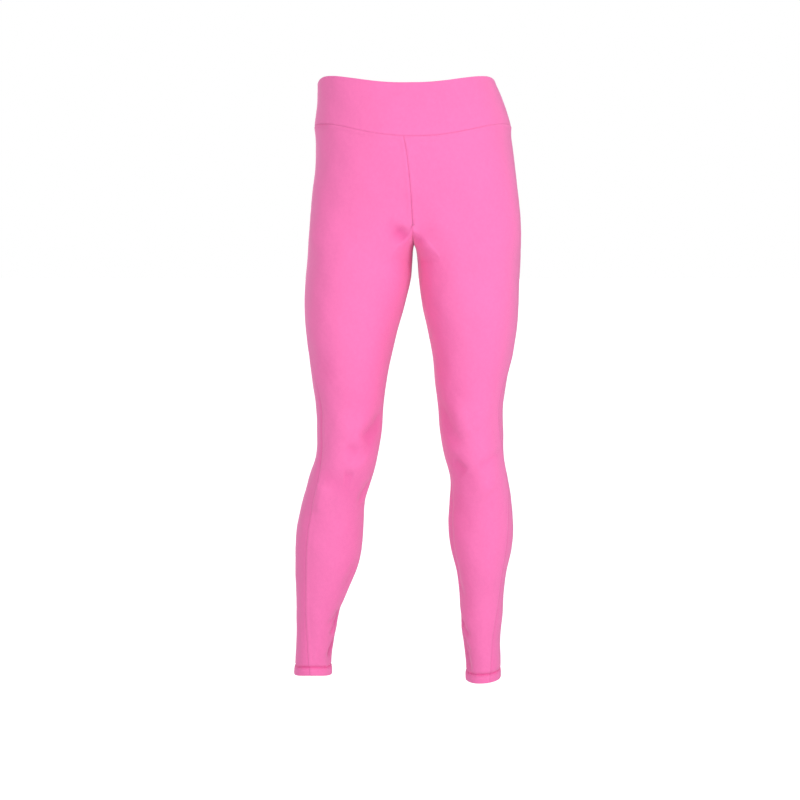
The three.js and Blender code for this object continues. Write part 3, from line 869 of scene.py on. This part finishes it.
def cloth_uv(piece):
    """Where each place lies on the flat cloth, in metres: along its row from the middle of the
    panel, and down by the mean distance from row to row."""
    along = distance_along(piece.places, 1)
    across = along - along[:, [along.shape[1] // 2]]
    step = np.linalg.norm(np.diff(piece.places, axis=0), axis=-1)
    both = piece.shown[1:] & piece.shown[:-1]
    down = np.concatenate([[0], np.cumsum((step * both).sum(axis=1) / both.sum(axis=1))])
    return stack(across, -down[:, None])[piece.shown] * MM


def sew_panel(piece, outer, thickness, painted_shade, material):
    """Makes a panel's mesh, with its place on the cloth, its distance from the seams and its
    painted shade."""
    points, faces = closed_shell(piece, outer, thickness)
    uv = np.tile(cloth_uv(piece), (2, 1))
    seam = np.tile(np.minimum(piece.seam, 50)[piece.shown], 2)
    rim = np.tile(np.minimum(piece.rim, 200)[piece.shown], 2)
    values = [("seam_mm", seam), ("rim_mm", rim), ("painted_shade", np.tile(painted_shade[piece.shown], 2))]
    panel = add_mesh(piece.name + "_cloth", points, faces, uv, values)
    panel.data.materials.append(material)
    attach(panel, "root")
    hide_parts(piece.name)
    return panel


def new_group(name, inputs, outputs):
    """A shader node group with float or vector sockets, and its first and last nodes."""
    tree = bpy.data.node_groups.new(name, "ShaderNodeTree")
    for label, kind, default in inputs:
        socket = tree.interface.new_socket(label, in_out="INPUT", socket_type=kind)
        if kind == "NodeSocketFloat":
            socket.default_value = default
    for label, kind in outputs:
        tree.interface.new_socket(label, in_out="OUTPUT", socket_type=kind)
    return tree, tree.nodes.new("NodeGroupInput"), tree.nodes.new("NodeGroupOutput")


def math_node(tree, operation, *values, clamp=False):
    """A Math node fed with sockets or numbers."""
    node = tree.nodes.new("ShaderNodeMath")
    node.operation = operation
    node.use_clamp = clamp
    for socket, value in zip(node.inputs, values):
        if isinstance(value, bpy.types.NodeSocket):
            tree.links.new(value, socket)
        else:
            socket.default_value = value
    return node.outputs[0]


# The loops of the knit: how far they slant, in courses a column, how much a yarn rises and dips
# along its way, and the painted shade between the loops and the painted light that their tops add to it.
LOOP_SLANT = 1.3
LOOP_RISE = 0.55
LOOP_FLOOR = 0.94
LOOP_SHADE = 0.1

# The tone of the knit: how much it varies over the cloth, and how much painted shade darkens it down in a
# seam, over a width that falls off by this power of the distance in millimetres squared.
MOTTLE = 0.07
SEAM_PAINTED_SHADE = 0.1
SEAM_FALLS_OFF = 1.1

# The knit's roughness, and what the fine mottle adds to it.
KNIT_ROUGHNESS = 0.6
MOTTLE_ROUGHNESS = 0.12


@functools.cache
def knit_loops():
    """Columns of small V shaped loops. Across a column the height is a pair of rounded yarns,
    and along it each yarn rises and dips once a course, slanted towards the column's middle."""
    tree, start, end = new_group(
        "knit_loops",
        [("Place", "NodeSocketVector", None), ("Wale", "NodeSocketFloat", 0.0005),
         ("Course", "NodeSocketFloat", 0.0004)],
        [("Height", "NodeSocketFloat"), ("Shade", "NodeSocketFloat")])
    split = tree.nodes.new("ShaderNodeSeparateXYZ")
    tree.links.new(start.outputs["Place"], split.inputs[0])
    do = functools.partial(math_node, tree)
    across = do("DIVIDE", split.outputs["X"], start.outputs["Wale"])
    along = do("DIVIDE", split.outputs["Y"], start.outputs["Course"])
    from_middle = do("ABSOLUTE", do("SUBTRACT", do("FRACT", across), 0.5))
    slant = do("MULTIPLY_ADD", from_middle, LOOP_SLANT, along)
    beat = do("MULTIPLY_ADD", do("COSINE", do("MULTIPLY", slant, math.tau)), 0.5, 0.5)
    yarn = do("SINE", do("MULTIPLY", from_middle, math.tau))
    height = do("MULTIPLY", do("MULTIPLY_ADD", beat, LOOP_RISE, 1 - LOOP_RISE), yarn)
    tree.links.new(height, end.inputs["Height"])
    # Painted shade between the loops, lighter on their tops.
    tree.links.new(do("MULTIPLY_ADD", height, LOOP_SHADE, LOOP_FLOOR), end.inputs["Shade"])
    return tree


@functools.cache
def cloth_mottle():
    """The soft, uneven tone of dyed knit: two sizes of noise, added about 1."""
    tree, start, end = new_group(
        "cloth_mottle",
        [("Place", "NodeSocketVector", None), ("Amount", "NodeSocketFloat", 0.05)],
        [("Tone", "NodeSocketFloat"), ("Height", "NodeSocketFloat")])
    noises = []
    for scale, detail in ((14, 3), (190, 2)):
        noise = tree.nodes.new("ShaderNodeTexNoise")
        noise.inputs["Scale"].default_value = scale
        noise.inputs["Detail"].default_value = detail
        tree.links.new(start.outputs["Place"], noise.inputs["Vector"])
        noises.append(noise.outputs["Fac"])
    do = functools.partial(math_node, tree)
    both = do("ADD", do("SUBTRACT", noises[0], 0.5), do("MULTIPLY_ADD", noises[1], 0.6, -0.3))
    tree.links.new(do("MULTIPLY_ADD", both, start.outputs["Amount"], 1.0), end.inputs["Tone"])
    tree.links.new(noises[1], end.inputs["Height"])
    return tree


def place_group(tree, group, **values):
    """One use of a node group, with its own values."""
    node = tree.nodes.new("ShaderNodeGroup")
    node.node_tree = group
    for label, value in values.items():
        if isinstance(value, bpy.types.NodeSocket):
            tree.links.new(value, node.inputs[label])
        else:
            node.inputs[label].default_value = value
    return node


def attribute_node(tree, name):
    node = tree.nodes.new("ShaderNodeAttribute")
    node.attribute_name = name
    return node.outputs["Fac"]


def tinted(tree, colour, factor):
    """A colour times a factor."""
    scale = tree.nodes.new("ShaderNodeVectorMath")
    scale.operation = "SCALE"
    tree.links.new(colour, scale.inputs[0])
    tree.links.new(factor, scale.inputs["Scale"])
    return scale.outputs[0]


def colour_mix(tree, a, b, factor):
    """A mix of two colours, of which the first may be a socket."""
    node = tree.nodes.new("ShaderNodeMix")
    node.data_type = "RGBA"
    if isinstance(a, bpy.types.NodeSocket):
        tree.links.new(a, node.inputs["A"])
    else:
        node.inputs["A"].default_value = (*a, 1)
    node.inputs["B"].default_value = (*b, 1)
    tree.links.new(factor, node.inputs["Factor"])
    return node.outputs["Result"]


def new_material(name, roughness):
    """A material with a Principled shader, its node tree and that shader."""
    material = bpy.data.materials.new(name)
    material.use_nodes = True
    shader = material.node_tree.nodes["Principled BSDF"]
    shader.inputs["Roughness"].default_value = roughness
    return material, material.node_tree, shader


@functools.cache
def knit_material(name):
    """Matte nylon and elastane knit: small loops with painted shade between them, a faint bloom of fibre
    ends, a soft uneven tone, painted shade down in each seam, and a deeper colour painted as shade in the
    folds, the hem's tuck and on the backs."""
    cloth = bpy.context.scene.leggings_cloth
    material, tree, shader = new_material(name, KNIT_ROUGHNESS)
    do = functools.partial(math_node, tree)
    coordinates = tree.nodes.new("ShaderNodeTexCoord")
    loops = place_group(tree, knit_loops(), Place=coordinates.outputs["UV"], Wale=cloth.wale,
                        Course=cloth.course)
    mottle = place_group(tree, cloth_mottle(), Place=coordinates.outputs["Object"], Amount=MOTTLE)
    # Painted shade: the colour darkens down in each seam, where its groove lies.
    seam = attribute_node(tree, "seam_mm")
    near_seam = do("POWER", math.e, do("MULTIPLY", do("MULTIPLY", seam, seam), -SEAM_FALLS_OFF))
    painted_seam_shade = do("MULTIPLY_ADD", near_seam, -SEAM_PAINTED_SHADE, 1.0)
    tone = do("MULTIPLY", mottle.outputs["Tone"], loops.outputs["Shade"])
    worn = colour_mix(tree, tuple(cloth.colour), tuple(cloth.stretched_colour), mottle.outputs["Height"])
    # Painted shade: the pink turns to the deeper colour in the folds, the hem's tuck and on the backs.
    pink = colour_mix(tree, worn, tuple(cloth.painted_shade_colour), attribute_node(tree, "painted_shade"))
    tree.links.new(tinted(tree, pink, do("MULTIPLY", tone, painted_seam_shade)), shader.inputs["Base Color"])
    roughness = do("MULTIPLY_ADD", mottle.outputs["Height"], MOTTLE_ROUGHNESS, KNIT_ROUGHNESS)
    tree.links.new(roughness, shader.inputs["Roughness"])
    shader.inputs["Specular IOR Level"].default_value = 0.3
    shader.inputs["Sheen Weight"].default_value = 1.0
    shader.inputs["Sheen Roughness"].default_value = 0.5
    shader.inputs["Sheen Tint"].default_value = (1.0, 0.4, 0.66, 1)
    bump = tree.nodes.new("ShaderNodeBump")
    bump.inputs["Strength"].default_value = 0.35
    bump.inputs["Distance"].default_value = 0.0001
    tree.links.new(loops.outputs["Height"], bump.inputs["Height"])
    tree.links.new(bump.outputs["Normal"], shader.inputs["Normal"])
    return material


# How many turns the plies of the thread make along one stitch.
THREAD_TURNS = 6.0


@functools.cache
def thread_material():
    """Polyester sewing thread: two plies twisted round each other, a little shinier."""
    sewing = bpy.context.scene.leggings_sewing
    material, tree, shader = new_material("sewing_thread", 0.45)
    coordinates = tree.nodes.new("ShaderNodeTexCoord")
    split = tree.nodes.new("ShaderNodeSeparateXYZ")
    tree.links.new(coordinates.outputs["UV"], split.inputs[0])
    do = functools.partial(math_node, tree)
    twist = do("MULTIPLY_ADD", split.outputs["Y"], THREAD_TURNS, split.outputs["X"])
    ply = do("ABSOLUTE", do("SINE", do("MULTIPLY", twist, math.tau)))
    shade = do("MULTIPLY_ADD", ply, 0.25, 0.78)
    colour = tree.nodes.new("ShaderNodeRGB")
    colour.outputs[0].default_value = (*sewing.colour, 1)
    tree.links.new(tinted(tree, colour.outputs[0], shade), shader.inputs["Base Color"])
    bump = tree.nodes.new("ShaderNodeBump")
    bump.inputs["Strength"].default_value = 0.5
    bump.inputs["Distance"].default_value = 0.0001
    tree.links.new(ply, bump.inputs["Height"])
    tree.links.new(bump.outputs["Normal"], shader.inputs["Normal"])
    return material


def declare_cloth(piece):
    """Works out the steps along a panel's rows and its place on the flat cloth, and keeps
    neither."""
    rows = gaps(piece.places, 1) * (piece.shown & np.roll(piece.shown, 1, axis=1))
    uv = cloth_uv(piece)


class LEGGINGS_OT_waistband(bpy.types.Operator):
    """Make the front and back of the waistband"""

    bl_idname = "leggings.waistband"
    bl_label = "Waistband"

    def execute(self, context):
        cloth, sewing = context.scene.leggings_cloth, context.scene.leggings_sewing
        for name in ("waistband_front", "waistband_back"):
            piece = cut_pieces()[name]
            surface = band_surface(piece, cloth, sewing)
            panel = sew_panel(piece, *surface, knit_material("knit"))
            declare_cloth(piece)
        return {"FINISHED"}


class LEGGINGS_OT_legs(bpy.types.Operator):
    """Make the fronts and backs of both legs"""

    bl_idname = "leggings.legs"
    bl_label = "Legs"

    def execute(self, context):
        cloth, sewing = context.scene.leggings_cloth, context.scene.leggings_sewing
        for side, leg in LEGS.items():
            for face in ("front", "back"):
                piece = cut_pieces()[f"leg_{face}_{side}"]
                surface = leg_surface(piece, leg, cloth, sewing)
                panel = sew_panel(piece, *surface, knit_material("knit"))
                declare_cloth(piece)
        return {"FINISHED"}


THREAD_SIDES = 6
THREAD_RINGS = 5


def stitch_ring(leg_name, line, cloth, sewing):
    """The centre line of a row of stitches round a hem and the way out of the cloth there."""
    leg = LEGS[leg_name]
    points, outward = [], []
    for face in ("front", "back"):
        piece = cut_pieces()[f"leg_{face}_{leg_name}"]
        outer = leg_surface(piece, leg, cloth, sewing)[0]
        row = int(np.argmin(np.abs(piece.rim[:, 0] - line)))
        start = 0 if face == "front" else 1
        points.append(outer[row, start:])
        outward.append(piece.outward[row, start:])
    return np.concatenate(points), np.concatenate(outward)


def stitches(points, outward, length, diameter):
    """A row of stitches along a closed line: each is a short tube whose middle lies on the
    cloth and whose ends dip into it."""
    gaps = np.linalg.norm(np.diff(points, axis=0), axis=1)
    along = np.concatenate([[0], np.cumsum(gaps)])
    count = round(along[-1] / length)
    t = np.linspace(-0.43, 0.43, THREAD_RINGS)
    place = (np.arange(count)[:, None] + 0.5 + t[None, :]) * along[-1] / count
    centre = np.stack([np.interp(place, along, axis) for axis in points.T], axis=-1)
    away = np.stack([np.interp(place, along, axis) for axis in outward.T], axis=-1)
    away /= np.linalg.norm(away, axis=-1, keepdims=True)
    run = np.gradient(centre, axis=1)
    run /= np.linalg.norm(run, axis=-1, keepdims=True)
    side = np.cross(run, away)
    height = diameter * (0.45 - 1.3 * (2 * t) ** 4)
    thick = diameter / 2 * np.sqrt(1.02 - (2 * t) ** 4)
    centre = centre + height[None, :, None] * away
    angle = np.arange(THREAD_SIDES) * 2 * np.pi / THREAD_SIDES
    spoke = (np.cos(angle)[:, None] * away[:, :, None, :] + np.sin(angle)[:, None] * side[:, :, None, :])
    tube = centre[:, :, None, :] + thick[None, :, None, None] * spoke
    return tube.reshape(-1, 3), tube_faces(count), tube_uv(count)


def tube_faces(count):
    """The faces of tubes that follow each other, with their ends closed."""
    ring = np.arange(THREAD_SIDES)
    around = np.roll(ring, -1)
    step = np.arange(THREAD_RINGS - 1)[:, None] * THREAD_SIDES
    sides = np.stack([ring, around, around + THREAD_SIDES, ring + THREAD_SIDES], axis=-1)
    sides = sides[None] + step[..., None]
    first = np.array([[3, 2, 1, 0], [5, 4, 3, 0]])
    last = np.array([[0, 1, 2, 3], [0, 3, 4, 5]]) + (THREAD_RINGS - 1) * THREAD_SIDES
    faces = np.concatenate([sides.reshape(-1, 4), first, last])
    offsets = np.arange(count)[:, None, None] * THREAD_SIDES * THREAD_RINGS
    return (faces[None] + offsets).reshape(-1, 4)


def tube_uv(count):
    """Round the thread in x and along it in y, both from 0 to 1."""
    ring = np.arange(THREAD_SIDES) / THREAD_SIDES
    along = np.linspace(0, 1, THREAD_RINGS)
    one = stack(ring[None, :], along[:, None]).reshape(-1, 2)
    return np.tile(one, (count, 1))


class LEGGINGS_OT_hem_stitches(bpy.types.Operator):
    """Make the two rows of stitches round each hem"""

    bl_idname = "leggings.hem_stitches"
    bl_label = "Hem stitches"

    def execute(self, context):
        cloth, sewing = context.scene.leggings_cloth, context.scene.leggings_sewing
        for side in LEGS:
            points, faces, places = [], [], []
            for line in HEM_LINES:
                ring, outward = stitch_ring(side, line, cloth, sewing)
                tube, corners, uv = stitches(ring, outward, sewing.stitch_length / MM, sewing.thread / MM)
                faces.append(corners + sum(len(part) for part in points))
                points.append(tube)
                places.append(uv)
            row = add_mesh(f"hem_stitches_{side}", np.concatenate(points), np.concatenate(faces),
                           np.concatenate(places))
            row.data.materials.append(thread_material())
            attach(row, "root")
        return {"FINISHED"}


# The two soft lights, in metres: where each stands, its size, and where both are aimed.
RIGHT_LIGHT_PLACE = (1.6, -1.85, 0.25)
LEFT_LIGHT_PLACE = (-0.5, -2.35, -0.2)
LIGHT_SIZE = (0.8, 1.3)
LIGHT_AIM = (0.02, 0, -0.35)


def add_softbox(name, place, power):
    """A white area light, turned towards the leggings."""
    light = bpy.data.lights.new(name, "AREA")
    light.shape = "RECTANGLE"
    light.size, light.size_y = LIGHT_SIZE
    light.energy = power
    lamp = bpy.data.objects.new(name, light)
    lamp.location = place
    direction = np.array(LIGHT_AIM) - np.array(place)
    pitch = math.acos(-direction[2] / np.linalg.norm(direction))
    lamp.rotation_euler = (pitch, 0, math.atan2(direction[1], direction[0]) - math.pi / 2)
    bpy.context.scene.collection.objects.link(lamp)


# The light from all round is this strong sideways, and grows by these shares towards the right,
# the back and overhead.
SIDEWAYS_LIGHT = 1.0
LIGHT_GROWS = (-0.1, 0.0, 0.1)
WHITE_SEEN = 1.0


def studio_world(fill):
    """Soft light from all round, seen directly as plain white."""
    world = bpy.data.worlds.new("studio")
    bpy.context.scene.world = world
    world.use_nodes = True
    tree = world.node_tree
    background = tree.nodes["Background"]
    background.inputs["Color"].default_value = (1, 1, 1, 1)
    coordinates = tree.nodes.new("ShaderNodeTexCoord")
    growth = tree.nodes.new("ShaderNodeVectorMath")
    growth.operation = "DOT_PRODUCT"
    growth.inputs[1].default_value = LIGHT_GROWS
    tree.links.new(coordinates.outputs["Generated"], growth.inputs[0])
    do = functools.partial(math_node, tree)
    light = do("MULTIPLY_ADD", growth.outputs["Value"], fill, SIDEWAYS_LIGHT * fill)
    path = tree.nodes.new("ShaderNodeLightPath")
    lit = do("MULTIPLY", light, do("SUBTRACT", 1.0, path.outputs["Is Camera Ray"]))
    seen = do("MULTIPLY_ADD", path.outputs["Is Camera Ray"], WHITE_SEEN, lit)
    tree.links.new(seen, background.inputs["Strength"])


FLOOR_GLOW = 0.72
FLOOR_HALF = 40.0


def floor_material(colour):
    """A matte floor that is seen directly as nearly white, with the soft shadows on it."""
    material, tree, shader = new_material("pale_floor", 0.9)
    shader.inputs["Base Color"].default_value = (*colour, 1)
    shader.inputs["Specular IOR Level"].default_value = 0.1
    shader.inputs["Emission Color"].default_value = (1, 1, 1, 1)
    path = tree.nodes.new("ShaderNodeLightPath")
    glow = math_node(tree, "MULTIPLY", path.outputs["Is Camera Ray"], FLOOR_GLOW)
    tree.links.new(glow, shader.inputs["Emission Strength"])
    return material


class LEGGINGS_OT_stage(bpy.types.Operator):
    """Make the camera, the lights and a plain pale floor"""

    bl_idname = "leggings.stage"
    bl_label = "Stage"

    def execute(self, context):
        settings = context.scene.leggings_stage
        camera = bpy.data.cameras.new("camera")
        camera.lens = CAMERA_LENS
        camera.sensor_width = SENSOR_WIDTH
        view = bpy.data.objects.new("camera", camera)
        view.location = CAMERA_PLACE
        view.rotation_euler = (math.radians(90 - CAMERA_TILT_DOWN), 0, 0)
        context.scene.collection.objects.link(view)
        context.scene.camera = view
        context.scene.view_settings.view_transform = "Standard"
        context.scene.view_settings.look = "None"
        corners = FLOOR_HALF * np.array([[-1, -1], [1, -1], [1, 1], [-1, 1]])
        floor_points = np.concatenate([corners, np.full((4, 1), -settings.floor_drop)], axis=1) / MM
        floor = add_mesh("floor", floor_points, np.array([[0, 1, 2, 3]]))
        floor.data.materials.append(floor_material(settings.floor_colour))
        floor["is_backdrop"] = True
        add_softbox("right", RIGHT_LIGHT_PLACE, settings.right_power)
        add_softbox("left", LEFT_LIGHT_PLACE, settings.left_power)
        studio_world(settings.fill)
        return {"FINISHED"}


class LEGGINGS_PT_panel(bpy.types.Panel):
    """Lists the pieces and their sizes"""

    bl_label = "Leggings"
    bl_idname = "LEGGINGS_PT_panel"
    bl_space_type = "VIEW_3D"
    bl_region_type = "UI"
    bl_category = "Leggings"

    def draw(self, context):
        scene = context.scene
        for settings, operators in (
            (scene.leggings_cloth, (LEGGINGS_OT_waistband, LEGGINGS_OT_legs)),
            (scene.leggings_sewing, (LEGGINGS_OT_hem_stitches,)),
            (scene.leggings_stage, (LEGGINGS_OT_stage,)),
        ):
            box = self.layout.box()
            for name in settings.__annotations__:
                box.prop(settings, name)
            for operator in operators:
                box.operator(operator.bl_idname)


CLASSES = (
    ClothSettings,
    SewingSettings,
    StageSettings,
    LEGGINGS_OT_waistband,
    LEGGINGS_OT_legs,
    LEGGINGS_OT_hem_stitches,
    LEGGINGS_OT_stage,
    LEGGINGS_PT_panel,
)
SETTINGS = {
    "leggings_cloth": ClothSettings,
    "leggings_sewing": SewingSettings,
    "leggings_stage": StageSettings,
}


def register():
    for cls in CLASSES:
        bpy.utils.register_class(cls)
    for name, kind in SETTINGS.items():
        setattr(bpy.types.Scene, name, bpy.props.PointerProperty(type=kind))


def unregister():
    for name in SETTINGS:
        delattr(bpy.types.Scene, name)
    for cls in reversed(CLASSES):
        bpy.utils.unregister_class(cls)


def main():
    register()
    bpy.ops.leggings.stage()
    bpy.ops.leggings.waistband()
    bpy.ops.leggings.legs()
    bpy.ops.leggings.hem_stitches()
    boxes = {"cad": CAD_BOX, "visual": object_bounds()}
    {name: [list(corner) for corner in box] for name, box in boxes.items()}


if __name__ == "__main__":
    main()
